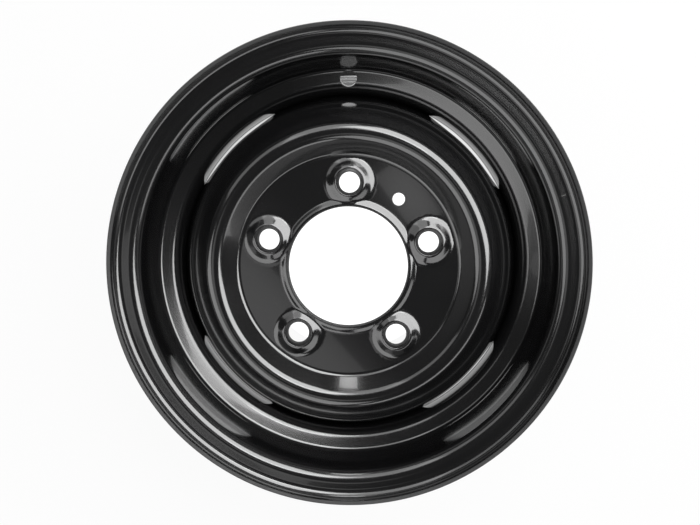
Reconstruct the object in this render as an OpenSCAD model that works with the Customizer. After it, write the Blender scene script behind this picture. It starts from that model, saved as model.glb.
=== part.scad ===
// Pressed-steel road wheel: a rolled drop-centre rim with a pressed disc welded into its well.
// The wheel axis is Z with the outboard side up. The origin is the middle of the hub mounting face.

/* [Rim] */
// Nominal diameter on which the tyre beads sit
bead_seat_d = 405.6; // [380:0.1:440]
// Distance between the two flanges, inside the tyre channel
rim_w = 139.7; // [127:0.1:165.1]
// Distance of the hub mounting face outboard of the rim's middle plane
inset = 38; // [25:0.5:45]
// Thickness of the rim's sheet
rim_t = 3.5; // [3:0.1:4.5]
// Slope of both bead seats towards the well
seat_taper = 5; // [2:0.5:8]

/* [Flanges] */
// Height of a flange above the bead seat
flange_h = 22.2; // [17:0.1:26]
// Outside radius of the rolled flange
curl_r = 11.5; // [9:0.1:13]
// Angle that the sheet is rolled through, from the flange wall to its cut edge
curl_angle = 120; // [95:1:130]
// Radius between the flange and the bead seat, in the tyre channel
seat_fillet_r = 7; // [5:0.5:9]

/* [Well] */
// Depth of the well below the bead seat diameter
well_depth = 26.3; // [22:0.1:32]
// Ledge between the outboard flange and the well
ledge_out = 49.7; // [42:0.1:54]
// Ledge between the inboard flange and the well
ledge_in = 26; // [20:0.5:32]
// Lean of the outboard well wall away from the wheel's plane
wall_lean_out = 23; // [18:1:32]
// Lean of the inboard well wall away from the wheel's plane
wall_lean_in = 25; // [15:1:35]
// Radius where a ledge turns down into the well, in the tyre channel
ledge_bend_r = 10.5; // [8:0.5:14]
// Radius where the outboard well wall meets the bottom, in the tyre channel
well_bend_out_r = 15.5; // [11:0.5:17]
// Radius where the inboard well wall meets the bottom, in the tyre channel
well_bend_in_r = 4; // [3:0.5:7]

/* [Valve hole] */
// Diameter of the valve hole
valve_hole_d = 16.8; // [11:0.1:18]
// Distance of the valve hole from the top of the well wall, along the wall
valve_drop = 10.6; // [9:0.1:13]
// Lean of the valve hole's axis from the wheel axis
valve_lean = 27; // [20:1:32]

/* [Disc] */
// Thickness of the disc's plate
disc_t = 6.25; // [5:0.25:7]
// Angle of the first stud hole from the valve hole
disc_turn = -1; // [-20:0.5:20]
// Diameter of the corner round the flat hub face
hub_face_d = 218.4; // [210:0.2:226]
// Radius where the hub face turns up to the crown
hub_fillet_r = 6; // [4:0.5:9]
// Distance of the crown, the ring that stands furthest forward, outside that corner
crown_run = 21.2; // [18:0.1:24]
// Height of the crown above the hub face
crown_h = 16.5; // [13:0.5:20]
// Radius over the crown
crown_r = 12; // [9:0.5:13]
// Height by which the shoulder's corner stands out from a straight slope
shoulder_bulge = 5; // [3:0.5:7]
// Radius of the shoulder's curve from the crown to the skirt
shoulder_r = 60; // [30:1:70]
// Radius where the shoulder turns back into the skirt
skirt_bend_r = 12; // [9:0.5:16]
// Distance of the shoulder's corner ahead of the flat of the well
skirt_lead = 2.8; // [2:0.1:5]
// Clearance between the skirt and the well
skirt_gap = 0.05; // [0.02:0.01:0.2]

/* [Hub bore] */
// Diameter of the centre bore
bore_d = 117.7; // [110:0.1:120]
// Height of the turned-out collar round the bore
collar_h = 3; // [1.5:0.1:4]
// Width of the collar's top, from the bore to its slope
collar_land = 2.95; // [2:0.05:4]
// Width of the collar's slope, from its top to its foot
collar_run = 5.2; // [4:0.1:7]
// Radius over the collar
collar_r = 7.5; // [7.3:0.1:9]
// Radius at the foot of the collar
collar_fillet_r = 5; // [3:0.5:7]

/* [Stud holes] */
// Diameter of the stud circle
stud_circle_d = 165.1; // [160:0.1:170]
// Number of stud holes
stud_count = 5; // [4:1:5]
// Diameter of a stud hole
stud_hole_d = 20.5; // [18:0.1:22]
// Diameter at the foot of the boss round a stud hole
boss_foot_d = 46.4; // [42:0.2:48]
// Diameter at the top of a boss
boss_top_d = 29; // [27.4:0.2:32]
// Height of a boss above the hub face
boss_h = 5.5; // [4:0.1:7]
// Width of the flat crest between the boss and its nut seat
boss_crest = 1.2; // [0.6:0.1:1.6]
// Included angle of the conical nut seat
nut_seat_angle = 60; // [56:1:70]
// Diameter of the pressed hollow behind a boss, at the mounting face
hollow_foot_d = 40; // [36:0.5:44]
// Diameter of that hollow at its bottom
hollow_top_d = 28; // [26:0.5:32]
// Depth of that hollow
hollow_h = 3; // [2:0.1:3.4]
// Diameter of the locating hole between two stud holes
pilot_hole_d = 12.5; // [8:0.1:14]

/* [Vents] */
// Number of openings cut in the skirt
vent_count = 4; // [3:1:4]
// Gap between the disc's cut edge and the well
vent_gap = 4.4; // [3:0.1:6]
// Width of an opening across the skirt
vent_w = 108; // [90:1:116]
// Radius in the corners of an opening
vent_corner_r = 24; // [14:1:30]

/* [Welds] */
// Leg of a weld along the skirt's edge and along the well
weld_leg = 5; // [3:0.1:5.5]
// Bulge of the weld's face
weld_bulge = 0.7; // [0.3:0.1:1.2]
// Flat of the well that is left behind the skirt for the weld
weld_room = 9; // [7:0.5:12]
// Distance of a weld's end from the side of an opening
weld_end_gap = 7; // [4:0.5:20]

/* [Hidden] */
$fn = 180;
// Largest angle between two points along an arc of a section
arc_step = 7.5;
// Length by which a cut runs past the surface that it opens
cut_over = 2;
paint = [0.05, 0.05, 0.055];
weld_paint = [0.07, 0.07, 0.075];

// Levels and radii of the rim
rim_mid_z = -inset;
flange_out_z = rim_mid_z + rim_w / 2;
flange_in_z = rim_mid_z - rim_w / 2;
seat_r = bead_seat_d / 2;
curl_centre_r = seat_r + flange_h - curl_r;
well_r = seat_r - well_depth;
well_inner_r = well_r - rim_t;

// Corners of the rim's section in the tyre channel, as [radius, height, bend radius]
lip_r = curl_centre_r + curl_r * sin(curl_angle);
lip_rise = curl_r * (1 - cos(curl_angle));
curl_corner_r = curl_centre_r + curl_r * tan(curl_angle / 2);
ledge_out_corner = [seat_r - ledge_out * tan(seat_taper), flange_out_z - ledge_out];
ledge_in_corner = [seat_r - ledge_in * tan(seat_taper), flange_in_z + ledge_in];
well_out_z = ledge_out_corner[1] - (ledge_out_corner[0] - well_r) * tan(wall_lean_out);
well_in_z = ledge_in_corner[1] + (ledge_in_corner[0] - well_r) * tan(wall_lean_in);
rim_corners = [
    [lip_r, flange_out_z + lip_rise, 0],
    [curl_corner_r, flange_out_z, curl_r],
    [seat_r, flange_out_z, seat_fillet_r],
    [ledge_out_corner[0], ledge_out_corner[1], ledge_bend_r],
    [well_r, well_out_z, well_bend_out_r],
    [well_r, well_in_z, well_bend_in_r],
    [ledge_in_corner[0], ledge_in_corner[1], ledge_bend_r],
    [seat_r, flange_in_z, seat_fillet_r],
    [curl_corner_r, flange_in_z, curl_r],
    [lip_r, flange_in_z - lip_rise, 0]
];

// The flat of the well, where its bottom is a true cylinder
flat_out_z = well_out_z - well_bend_out_r * tan((90 - wall_lean_out) / 2);
flat_in_z = well_in_z + well_bend_in_r * tan((90 - wall_lean_in) / 2);

// Levels and radii of the disc
hub_front_z = disc_t;
hub_corner = [hub_face_d / 2, hub_front_z];
crown_centre = hub_corner + [crown_run, crown_h - crown_r];
collar_top_r = bore_d / 2 + collar_land;
skirt_r = well_inner_r - skirt_gap;
skirt_corner = [skirt_r, flat_out_z + skirt_lead];
skirt_end_z = flat_in_z + weld_room;
inner_wall_angle = tangent_angle(hub_corner, crown_centre, crown_r);
straight_angle = tangent_angle(mirrored(skirt_corner), mirrored(crown_centre), crown_r);
shoulder_out = [sin(straight_angle), cos(straight_angle)];
shoulder_start = crown_centre + shoulder_out * crown_r;
shoulder_corner = (shoulder_start + skirt_corner) / 2 + shoulder_out * shoulder_bulge;
upper_angle = tangent_angle(mirrored(shoulder_corner), mirrored(crown_centre), crown_r);
lower_angle = atan2(shoulder_corner[1] - skirt_corner[1], skirt_corner[0] - shoulder_corner[0]);
crown_corner = meeting_point(hub_corner, inner_wall_angle, shoulder_corner, upper_angle);
disc_corners = [
    [bore_d / 2 - cut_over, hub_front_z + collar_h, 0],
    [collar_top_r, hub_front_z + collar_h, collar_r],
    [collar_top_r + collar_run, hub_front_z, collar_fillet_r],
    [hub_corner[0], hub_corner[1], hub_fillet_r],
    [crown_corner[0], crown_corner[1], crown_r],
    [shoulder_corner[0], shoulder_corner[1], shoulder_r],
    [skirt_corner[0], skirt_corner[1], skirt_bend_r],
    [skirt_r, skirt_end_z, 0]
];
disc_top_z = hub_front_z + crown_h;
vent_edge_z = skirt_corner[1] + vent_gap * tan(lower_angle);
stud_first_angle = 90 + disc_turn;
pilot_angle = stud_first_angle - 180 / stud_count;
vent_first_angle = 45 + disc_turn;
boss_top_z = hub_front_z + boss_h;
weld_half_angle = 180 / vent_count - asin((vent_w / 2 + weld_end_gap) / skirt_r);

// The mirror image of a point across the wheel axis
function mirrored(p) = [-p[0], p[1]];

// Angle of the line from a point that just touches the upper side of a circle to its right
function tangent_angle(p, centre, r) =
    let (d = centre - p)
    atan2(d[1], d[0]) + asin(r / norm(d));

// Point where a line rising from a meets a line falling to b
function meeting_point(a, rise_angle, b, fall_angle) =
    let (
        up = tan(rise_angle),
        down = tan(fall_angle),
        r = (b[1] - a[1] + up * a[0] + down * b[0]) / (up + down)
    )
    [r, a[1] + up * (r - a[0])];

// Direction from one corner to the next, and the direction to its left
function heading(a, b) = [b[0] - a[0], b[1] - a[1]] / norm([b[0] - a[0], b[1] - a[1]]);
function left_of(v) = [-v[1], v[0]];
function turned(v, angle) = [
    v[0] * cos(angle) - v[1] * sin(angle),
    v[0] * sin(angle) + v[1] * cos(angle)
];

// The points of one rounded corner, each moved sideways by a distance along its left normal
function bend(before, corner, after, shift) =
    let (
        u = heading(before, corner),
        v = heading(corner, after),
        turn = atan2(u[0] * v[1] - u[1] * v[0], u * v),
        side = sign(turn),
        start = [corner[0], corner[1]] - u * corner[2] * tan(abs(turn) / 2),
        centre = start + left_of(u) * side * corner[2],
        steps = ceil(abs(turn) / arc_step)
    )
    [for (i = [0 : steps])
        let (n = turned(left_of(u), turn * i / steps))
        centre - n * (side * corner[2] - shift)];

// One face of a bent sheet, from its first corner to its last
function sheet_face(corners, shift) =
    let (
        last = len(corners) - 1,
        n_first = left_of(heading(corners[0], corners[1])),
        n_last = left_of(heading(corners[last - 1], corners[last]))
    )
    concat(
        [[corners[0][0], corners[0][1]] + n_first * shift],
        [for (i = [1 : last - 1])
            each bend(corners[i - 1], corners[i], corners[i + 1], shift)],
        [[corners[last][0], corners[last][1]] + n_last * shift]
    );

function reversed(points) = [for (i = [len(points) - 1 : -1 : 0]) points[i]];

// Section of a bent sheet: its corners lie on one face, and the other is a thickness to the right
module sheet_section(corners, thickness) {
    polygon(concat(sheet_face(corners, 0), reversed(sheet_face(corners, -thickness))));
}

// Places its children on a circle round the wheel axis
module on_circle(r, angle) {
    rotate([0, 0, angle]) translate([r, 0, 0]) children();
}

// The valve hole goes through the outboard well wall and leans out past the inboard flange
module valve_hole() {
    hole_r = ledge_out_corner[0] - valve_drop * cos(wall_lean_out);
    hole_z = ledge_out_corner[1] - valve_drop * sin(wall_lean_out);
    reach = 3 * rim_t;
    on_circle(hole_r, 90)
        translate([0, 0, hole_z])
            rotate([0, -valve_lean, 0])
                cylinder(h = 2 * reach, d = valve_hole_d, center = true);
}

module rim() {
    color(paint)
        difference() {
            rotate_extrude() sheet_section(rim_corners, rim_t);
            valve_hole();
        }
}

// The boss is pressed forward, so its cone starts inside the plate
module stud_boss() {
    root = disc_t / 2;
    slope = (boss_foot_d - boss_top_d) / 2 / boss_h;
    translate([0, 0, hub_front_z - root])
        cylinder(h = boss_h + root, r1 = boss_foot_d / 2 + slope * root, r2 = boss_top_d / 2);
}

// A stud hole with its conical nut seat in front and the pressed hollow behind
module stud_hole() {
    seat_top_r = boss_top_d / 2 - boss_crest;
    seat_h = (seat_top_r - stud_hole_d / 2) / tan(nut_seat_angle / 2);
    over_r = cut_over * tan(nut_seat_angle / 2);
    hollow_slope = (hollow_foot_d - hollow_top_d) / 2 / hollow_h;
    translate([0, 0, -cut_over])
        cylinder(h = boss_top_z + 2 * cut_over, d = stud_hole_d);
    translate([0, 0, boss_top_z - seat_h])
        cylinder(h = seat_h + cut_over, r1 = stud_hole_d / 2, r2 = seat_top_r + over_r);
    translate([0, 0, -cut_over])
        cylinder(
            h = hollow_h + cut_over,
            r1 = hollow_foot_d / 2 + hollow_slope * cut_over,
            r2 = hollow_top_d / 2
        );
}

// Points of an opening in the skirt, seen along the radius: flat on top with round corners
function vent_outline() =
    let (
        steps = ceil(90 / arc_step),
        flat = vent_w / 2 - vent_corner_r,
        bottom = skirt_end_z - cut_over,
        right = [for (i = [0 : steps])
            let (a = 90 * i / steps)
            [flat + vent_corner_r * sin(a), vent_edge_z - vent_corner_r * (1 - cos(a))]]
    )
    concat(
        right,
        [[vent_w / 2, bottom], [-vent_w / 2, bottom]],
        [for (p = reversed(right)) [-p[0], p[1]]]
    );

module vent_cut() {
    reach = well_inner_r + cut_over - hub_corner[0];
    rotate([90, 0, 90])
        translate([0, 0, hub_corner[0]]) linear_extrude(reach) polygon(vent_outline());
}

module disc() {
    color(paint)
        difference() {
            union() {
                rotate_extrude() sheet_section(disc_corners, disc_t);
                for (i = [0 : stud_count - 1])
                    on_circle(stud_circle_d / 2, stud_first_angle + i * 360 / stud_count) stud_boss();
            }
            translate([0, 0, -cut_over]) cylinder(h = disc_top_z + 2 * cut_over, d = bore_d);
            for (i = [0 : stud_count - 1])
                on_circle(stud_circle_d / 2, stud_first_angle + i * 360 / stud_count) stud_hole();
            on_circle(stud_circle_d / 2, pilot_angle)
                translate([0, 0, -cut_over]) cylinder(h = disc_t + 2 * cut_over, d = pilot_hole_d);
            for (i = [0 : vent_count - 1])
                rotate([0, 0, vent_first_angle + i * 360 / vent_count]) vent_cut();
        }
}

// Section of a fillet weld in the corner of the skirt's edge and the well
module weld_section() {
    corner = [well_inner_r, skirt_end_z];
    toe_out = corner - [weld_leg, 0];
    toe_down = corner - [0, weld_leg];
    half = norm(toe_down - toe_out) / 2;
    face_r = (half * half + weld_bulge * weld_bulge) / (2 * weld_bulge);
    half_angle = asin(half / face_r);
    outward = [-1, -1] / norm([1, 1]);
    centre = (toe_out + toe_down) / 2 - outward * (face_r - weld_bulge);
    steps = ceil(2 * half_angle / arc_step);
    polygon(concat(
        [corner],
        [for (i = [0 : steps])
            let (a = half_angle - 2 * half_angle * i / steps)
            centre + turned(outward, -a) * face_r]
    ));
}

// One weld on the skirt's edge, midway between two openings
module weld_bead(number) {
    middle = vent_first_angle + (number - 0.5) * 360 / vent_count;
    color(weld_paint)
        rotate([0, 0, middle - weld_half_angle])
            rotate_extrude(angle = 2 * weld_half_angle) weld_section();
}

rim();
disc();
weld_bead(1);  // weld_bead_1
weld_bead(2);  // weld_bead_2
weld_bead(3);  // weld_bead_3
weld_bead(4);  // weld_bead_4
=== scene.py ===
# %% [markdown]
# # A pressed-steel road wheel
# The real wheel is two pressings under one coat of black paint: a rolled hoop of sheet steel that
# carries the tyre, and a dished plate that bolts to the hub. Four short welds hold the plate in the
# hoop. Everything below is placed in the measured frame, in metres, so nothing has to be fitted by eye.

# %% Load the measured frame
import math

import bpy
import numpy as np
from mathutils import Matrix, Vector
from mathutils.geometry import delaunay_2d_cdt


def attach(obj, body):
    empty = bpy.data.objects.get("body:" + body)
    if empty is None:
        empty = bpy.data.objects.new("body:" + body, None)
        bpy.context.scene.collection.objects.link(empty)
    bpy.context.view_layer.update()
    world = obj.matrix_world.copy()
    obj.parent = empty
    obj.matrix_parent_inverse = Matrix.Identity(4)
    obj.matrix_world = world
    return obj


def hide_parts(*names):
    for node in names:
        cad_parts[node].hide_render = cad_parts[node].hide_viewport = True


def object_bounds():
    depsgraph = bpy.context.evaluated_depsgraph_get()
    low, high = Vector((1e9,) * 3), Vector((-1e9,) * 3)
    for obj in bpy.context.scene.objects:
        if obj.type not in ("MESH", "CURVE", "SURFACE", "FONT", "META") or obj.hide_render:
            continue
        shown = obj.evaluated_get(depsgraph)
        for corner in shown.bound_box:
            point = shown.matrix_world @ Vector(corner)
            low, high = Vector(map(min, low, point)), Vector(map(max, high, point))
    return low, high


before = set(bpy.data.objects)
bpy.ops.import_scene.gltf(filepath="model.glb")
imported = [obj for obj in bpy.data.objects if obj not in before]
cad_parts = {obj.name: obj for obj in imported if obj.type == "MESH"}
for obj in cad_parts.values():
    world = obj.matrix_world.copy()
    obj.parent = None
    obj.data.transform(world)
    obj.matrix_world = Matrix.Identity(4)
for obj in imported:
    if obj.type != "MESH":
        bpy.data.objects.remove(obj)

MM = 0.001
cad_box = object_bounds()
print("frame nodes:", sorted(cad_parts))

# %% [markdown]
# ## Bent sheet
# Both pressings are sheet of one thickness, bent along circles. A press-shop drawing gives such a
# section as a line with corners and bend radii, so that is what is written here. The other face of
# the sheet is the same line moved sideways by the thickness.

# %% Lines of a bent sheet
def heading(a, b):
    """Unit direction from one point of a section to another."""
    d = np.subtract(b[:2], a[:2])
    return d / np.hypot(d[0], d[1])


def left_of(v):
    return np.array([-v[1], v[0]])


def turned(v, angle):
    c, s = math.cos(angle), math.sin(angle)
    return np.array([v[0] * c - v[1] * s, v[0] * s + v[1] * c])


def sheet_bends(corners, shift, step):
    """The bends of one face of a sheet, each as points, with the sheet's two ends first and last."""
    ends = [
        np.array(a[:2]) + left_of(heading(u, v)) * shift
        for a, u, v in ((corners[0], corners[0], corners[1]), (corners[-1], corners[-2], corners[-1]))
    ]
    bends = [ends[:1]]
    for before, corner, after in zip(corners, corners[1:], corners[2:]):
        u, v = heading(before, corner), heading(corner, after)
        turn = math.atan2(u[0] * v[1] - u[1] * v[0], float(u @ v))
        side = math.copysign(1, turn)
        start = np.array(corner[:2]) - u * corner[2] * math.tan(abs(turn) / 2)
        centre = start + left_of(u) * side * corner[2]
        count = math.ceil(abs(math.degrees(turn)) / step)
        normals = [turned(left_of(u), turn * i / count) for i in range(count + 1)]
        bends.append([centre - n * (side * corner[2] - shift) for n in normals])
    bends.append(ends[1:])
    return [np.array(bend) for bend in bends]


def joined(bends):
    """The bends as one line, without points that repeat."""
    line = np.concatenate(bends)
    apart = np.hypot(*np.diff(line, axis=0).T) > 1e-6
    return line[np.concatenate([[True], apart])]


def filled_in(points, longest, closed=False):
    """The same line with points added on its long straights."""
    out = []
    after = np.roll(points, -1, 0) if closed else points[1:]
    for a, b in zip(points, after):
        count = max(1, math.ceil(np.hypot(*(b - a)) / longest))
        out += [a + (b - a) * i / count for i in range(count)]
    return np.array(out if closed else out + [points[-1]])


# %% [markdown]
# ## Nodes as expressions
# A node tree reads more easily as a formula than as a list of links. `Wire` stands for one socket
# and knows the operators used below, and `Graph.add` makes any other node: its settings first, then
# the values or links of its sockets. The same two classes serve shaders and Geometry Nodes.

# %% Sockets in sums
class Wire:
    """An output socket that can be used in sums."""

    def __init__(self, graph, socket):
        self.graph, self.socket = graph, socket

    def math(self, operation, *values):
        return self.graph.add("ShaderNodeMath", {"operation": operation}, dict(enumerate(values)))[0]

    def __add__(self, other):
        return self.math("ADD", self, other)

    def __sub__(self, other):
        return self.math("SUBTRACT", self, other)

    def __rsub__(self, other):
        return self.math("SUBTRACT", other, self)

    def __mul__(self, other):
        return self.math("MULTIPLY", self, other)

    def __truediv__(self, other):
        return self.math("DIVIDE", self, other)

    __radd__ = __add__
    __rmul__ = __mul__

    def mod(self, other):
        return self.math("FLOORED_MODULO", self, other)

    def floor(self):
        return self.math("FLOOR", self)

    def sin(self):
        return self.math("SINE", self)

    def cos(self):
        return self.math("COSINE", self)

    def abs(self):
        return self.math("ABSOLUTE", self)

    def power(self, exponent):
        return self.math("POWER", self, exponent)

    def ramp(self, low, high, to_low=0.0, to_high=1.0):
        """A straight ramp from one range to another, held at its ends."""
        names = ("Value", "From Min", "From Max", "To Min", "To Max")
        values = dict(zip(names, (self, low, high, to_low, to_high)))
        return self.graph.add("ShaderNodeMapRange", {"clamp": True}, values)["Result"]


print("sockets can be added, multiplied and ramped")

# %% Nodes in a tree
class Made:
    """A node that was added. Its outputs come as wires, by name or number."""

    def __init__(self, graph, node):
        self.graph, self.node = graph, node

    def __getitem__(self, key):
        return Wire(self.graph, self.node.outputs[key])


class Graph:
    """Adds nodes to one tree."""

    def __init__(self, tree):
        self.tree = tree

    def add(self, kind, settings={}, inputs={}):
        node = self.tree.nodes.new(kind)
        for name, value in settings.items():
            setattr(node, name, value)
        for key, value in inputs.items():
            if isinstance(value, Wire):
                self.tree.links.new(value.socket, node.inputs[key])
            else:
                node.inputs[key].default_value = value
        return Made(self, node)


# %% [markdown]
# ## Black paint
# Wheels like this are dipped or sprayed in semi-gloss black. The colour is almost nothing: what the
# eye sees is the room in the paint. So the finish is a dark base under a clear gloss, with a faint
# orange peel in the bump, slow changes of gloss over a hand's breadth, a little dust, and thinner,
# dull paint without the clear gloss on cut edges. The edge comes from an attribute that each mesh
# stores on its points. On the hoop, a ground-down butt weld shows as a fine line across the flanges.

# %% The paint
SEAM_ANGLE = math.radians(18.7)
SEAM_CORE, SEAM_FADE = 0.0003, 0.0011
SEAM_FROM_R, SEAM_FULL_R = 0.206, 0.210


def blank_material(name):
    """A new material with an empty node tree, and the graph to fill it with."""
    material = bpy.data.materials.new(name)
    material.use_nodes = True
    material.node_tree.nodes.clear()
    return material, Graph(material.node_tree)


def black_paint(name, shade, gloss, peel, seam=False):
    """Gloss black: a base shade, its roughness and the strength of its orange peel."""
    material, g = blank_material(name)
    place = g.add("ShaderNodeTexCoord")["Object"]

    def noise(scale, detail, roughness=0.5):
        values = {"Vector": place, "Scale": scale, "Detail": detail, "Roughness": roughness}
        return g.add("ShaderNodeTexNoise", {}, values)["Fac"]

    broad = noise(9, 3)
    fine = noise(420, 2)
    dust = noise(1500, 1).ramp(0.70, 0.80) * noise(30, 2).ramp(0.45, 0.75)
    edge = g.add("ShaderNodeAttribute", {"attribute_name": "edge"})["Fac"]
    worn = edge * noise(160, 4, 0.65).ramp(0.42, 0.62)

    value = shade * (0.8 + 0.4 * broad) + 0.015 * dust + 0.006 * worn
    tint = g.add("ShaderNodeCombineColor", {}, {"Red": value, "Green": value, "Blue": value * 1.06})["Color"]
    roughness = gloss + 0.10 * (broad - 0.5) + 0.12 * dust + 0.50 * edge + 0.08 * worn

    height = peel * fine + 0.5 * peel * broad
    if seam:
        split = g.add("ShaderNodeSeparateXYZ", {}, {"Vector": place})
        x, y = split["X"], split["Y"]
        across = (y * math.cos(SEAM_ANGLE) - x * math.sin(SEAM_ANGLE)).abs()
        along = x * math.cos(SEAM_ANGLE) + y * math.sin(SEAM_ANGLE)
        line = across.ramp(SEAM_CORE, SEAM_FADE, 1, 0) * along.ramp(SEAM_FROM_R, SEAM_FULL_R)
        height = height + 1.2 * line
        roughness = roughness + 0.08 * line
    bump = g.add("ShaderNodeBump", {}, {"Strength": 0.35, "Distance": 0.0002, "Height": height})["Normal"]

    surface = g.add("ShaderNodeBsdfPrincipled", {}, {
        "Base Color": tint, "Roughness": roughness, "Normal": bump,
        "IOR": 1.6, "Specular IOR Level": 0.9,
        "Coat Weight": 1.0 - edge, "Coat Roughness": 0.04, "Coat IOR": 1.5,
    })["BSDF"]
    g.add("ShaderNodeOutputMaterial", {}, {"Surface": surface})
    return material


rim_paint = black_paint("rim_black_paint", 0.005, 0.16, 0.10, seam=True)
disc_paint = black_paint("disc_black_paint", 0.005, 0.16, 0.10)
weld_paint = black_paint("weld_black_paint", 0.008, 0.32, 0.35)
print("paints:", rim_paint.name, disc_paint.name, weld_paint.name)

# %% [markdown]
# ## The hoop's section
# The hoop is rolled from one strip. From the outboard lip inwards the section has a rolled flange,
# a bead seat that slopes five degrees, a wall down into the drop-centre well, the well's bottom and
# the same again on the way out. The well lets a tyre bead drop in while the other side is levered
# over the flange. The cut lips get a small round, because paint never holds a sharp edge. The corner
# between the outboard seat and its wall is drawn about a millimetre further out and forward than in
# the plain solid, because gloss paint gives away the slightest slope, and the reflections suit that.

# %% Corners of the hoop's section
bead_seat_r, rim_w, inset, rim_t = 202.8, 139.7, 38.0, 3.5
flange_h, curl_r, curl_angle, seat_fillet_r = 22.2, 11.5, math.radians(120), 7.0
well_depth, ledge_out, ledge_in = 26.3, 49.7, 26.0
lean_out, lean_in, taper = math.radians(23), math.radians(25), math.radians(5)
ledge_bend_r, well_bend_out_r, well_bend_in_r = 10.5, 15.5, 4.0
ledge_lift, ledge_fore = 0.8, 1.4

flange_out_z, flange_in_z = -inset + rim_w / 2, -inset - rim_w / 2
well_r = bead_seat_r - well_depth
curl_centre_r = bead_seat_r + flange_h - curl_r
lip_r = curl_centre_r + curl_r * math.sin(curl_angle)
lip_rise = curl_r * (1 - math.cos(curl_angle))
curl_corner_r = curl_centre_r + curl_r * math.tan(curl_angle / 2)
ledge_out_corner = (bead_seat_r - ledge_out * math.tan(taper), flange_out_z - ledge_out)
ledge_in_corner = (bead_seat_r - ledge_in * math.tan(taper), flange_in_z + ledge_in)
well_out_z = ledge_out_corner[1] - (ledge_out_corner[0] - well_r) * math.tan(lean_out)
well_in_z = ledge_in_corner[1] + (ledge_in_corner[0] - well_r) * math.tan(lean_in)
ledge_seen = (ledge_out_corner[0] + ledge_lift, ledge_out_corner[1] + ledge_fore)
rim_corners = [
    (lip_r, flange_out_z + lip_rise, 0),
    (curl_corner_r, flange_out_z, curl_r),
    (bead_seat_r, flange_out_z, seat_fillet_r),
    (*ledge_seen, ledge_bend_r),
    (well_r, well_out_z, well_bend_out_r),
    (well_r, well_in_z, well_bend_in_r),
    (*ledge_in_corner, ledge_bend_r),
    (bead_seat_r, flange_in_z, seat_fillet_r),
    (curl_corner_r, flange_in_z, curl_r),
    (lip_r, flange_in_z - lip_rise, 0),
]
print("well radius:", round(well_r, 1), "mm, lip radius:", round(curl_centre_r + curl_r, 1), "mm")

# %% The hoop's outline
def rounded_outline(points, radius, count=4):
    """A closed outline with a small curve in place of each sharp corner."""
    out = []
    for before, here, after in zip(np.roll(points, 1, 0), points, np.roll(points, -1, 0)):
        u, v = heading(before, here), heading(here, after)
        if float(u @ v) > 0.8:
            out.append(here)
            continue
        start, stop = here - u * radius, here + v * radius
        for t in np.linspace(0, 1, count + 1):
            out.append((1 - t) ** 2 * start + 2 * t * (1 - t) * here + t * t * stop)
    return np.array(out)


TYRE_STEP, WHEEL_STEP = 6.5, 3.6
LIP_ROUND, LIP_MARK, LONGEST_STRAIGHT = 0.8, 1.6, 5.0
tyre_face = joined(sheet_bends(rim_corners, 0, TYRE_STEP))
wheel_face = joined(sheet_bends(rim_corners, -rim_t, WHEEL_STEP))
rim_outline = np.concatenate([wheel_face, tyre_face[::-1]])
rim_outline = filled_in(rounded_outline(rim_outline, LIP_ROUND), LONGEST_STRAIGHT, closed=True)


def distance_to_line(points, a, b):
    """Distances of points from the straight line between two ends."""
    t = np.clip((points - a) @ (b - a) / np.sum((b - a) ** 2), 0, 1)
    return np.linalg.norm(points - a - t[:, None] * (b - a), axis=1)


lip_near = np.min([distance_to_line(rim_outline, tyre_face[i], wheel_face[i]) for i in (0, -1)], axis=0)
rim_edge = np.clip(LIP_MARK - lip_near, 0, 1)
print("hoop section:", len(rim_outline), "points")

# %% [markdown]
# ## Revolving the hoop with Geometry Nodes
# A hoop is a section turned round an axis, which is a rule, so Geometry Nodes can build it. The tree
# makes a flat grid with one column for each point of the section and one row for each step of the
# turn. It then moves every grid point to its place: the column picks the section's point, the row
# gives the angle. Merging closes the last row onto the first. A drill then cuts the valve hole
# through the well's outboard wall. A lathe or spin modifier would do too, but the tree keeps the
# number of steps and the drill as named inputs.

# %% Trees and what they make
def node_tree(name, inputs):
    """A new geometry tree with its graph and its named inputs as wires."""
    tree = bpy.data.node_groups.new(name, "GeometryNodeTree")
    tree.interface.new_socket("Geometry", in_out="INPUT", socket_type="NodeSocketGeometry")
    for label, kind in inputs.items():
        tree.interface.new_socket(label, in_out="INPUT", socket_type="NodeSocket" + kind)
    tree.interface.new_socket("Geometry", in_out="OUTPUT", socket_type="NodeSocketGeometry")
    return tree, Graph(tree)


def finished(g, geometry, material):
    """Ends a tree: smooth, real, painted."""
    smooth = g.add("GeometryNodeSetShadeSmooth", {}, {"Geometry": geometry})["Geometry"]
    real = g.add("GeometryNodeRealizeInstances", {}, {"Geometry": smooth})["Geometry"]
    painted = g.add("GeometryNodeSetMaterial", {}, {"Geometry": real, "Material": material})["Geometry"]
    g.add("NodeGroupOutput", {}, {"Geometry": painted})


def made_by_nodes(name, base, tree, values):
    """An object whose mesh is what the tree makes from a base mesh."""
    piece = bpy.data.objects.new(name, base)
    bpy.context.scene.collection.objects.link(piece)
    modifier = piece.modifiers.new("nodes", "NODES")
    modifier.node_group = tree
    for item in tree.interface.items_tree:
        if item.in_out == "INPUT" and item.name in values:
            modifier[item.identifier] = values[item.name]
    evaluated = piece.evaluated_get(bpy.context.evaluated_depsgraph_get())
    mesh = bpy.data.meshes.new_from_object(evaluated)
    piece.modifiers.remove(modifier)
    piece.data = mesh
    mesh.name = name
    return piece


print("trees can be made, finished and turned into pieces")

# %% A grid that follows a section
def section_mesh(name, outline, edge):
    """A section as loose points, with its edge attribute, for a tree to read."""
    mesh = bpy.data.meshes.new(name)
    mesh.from_pydata([(r * MM, 0, z * MM) for r, z in outline], [], [])
    mesh.attributes.new("edge", "FLOAT", "POINT").data.foreach_set("value", np.asarray(edge, np.float32))
    return mesh


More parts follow.
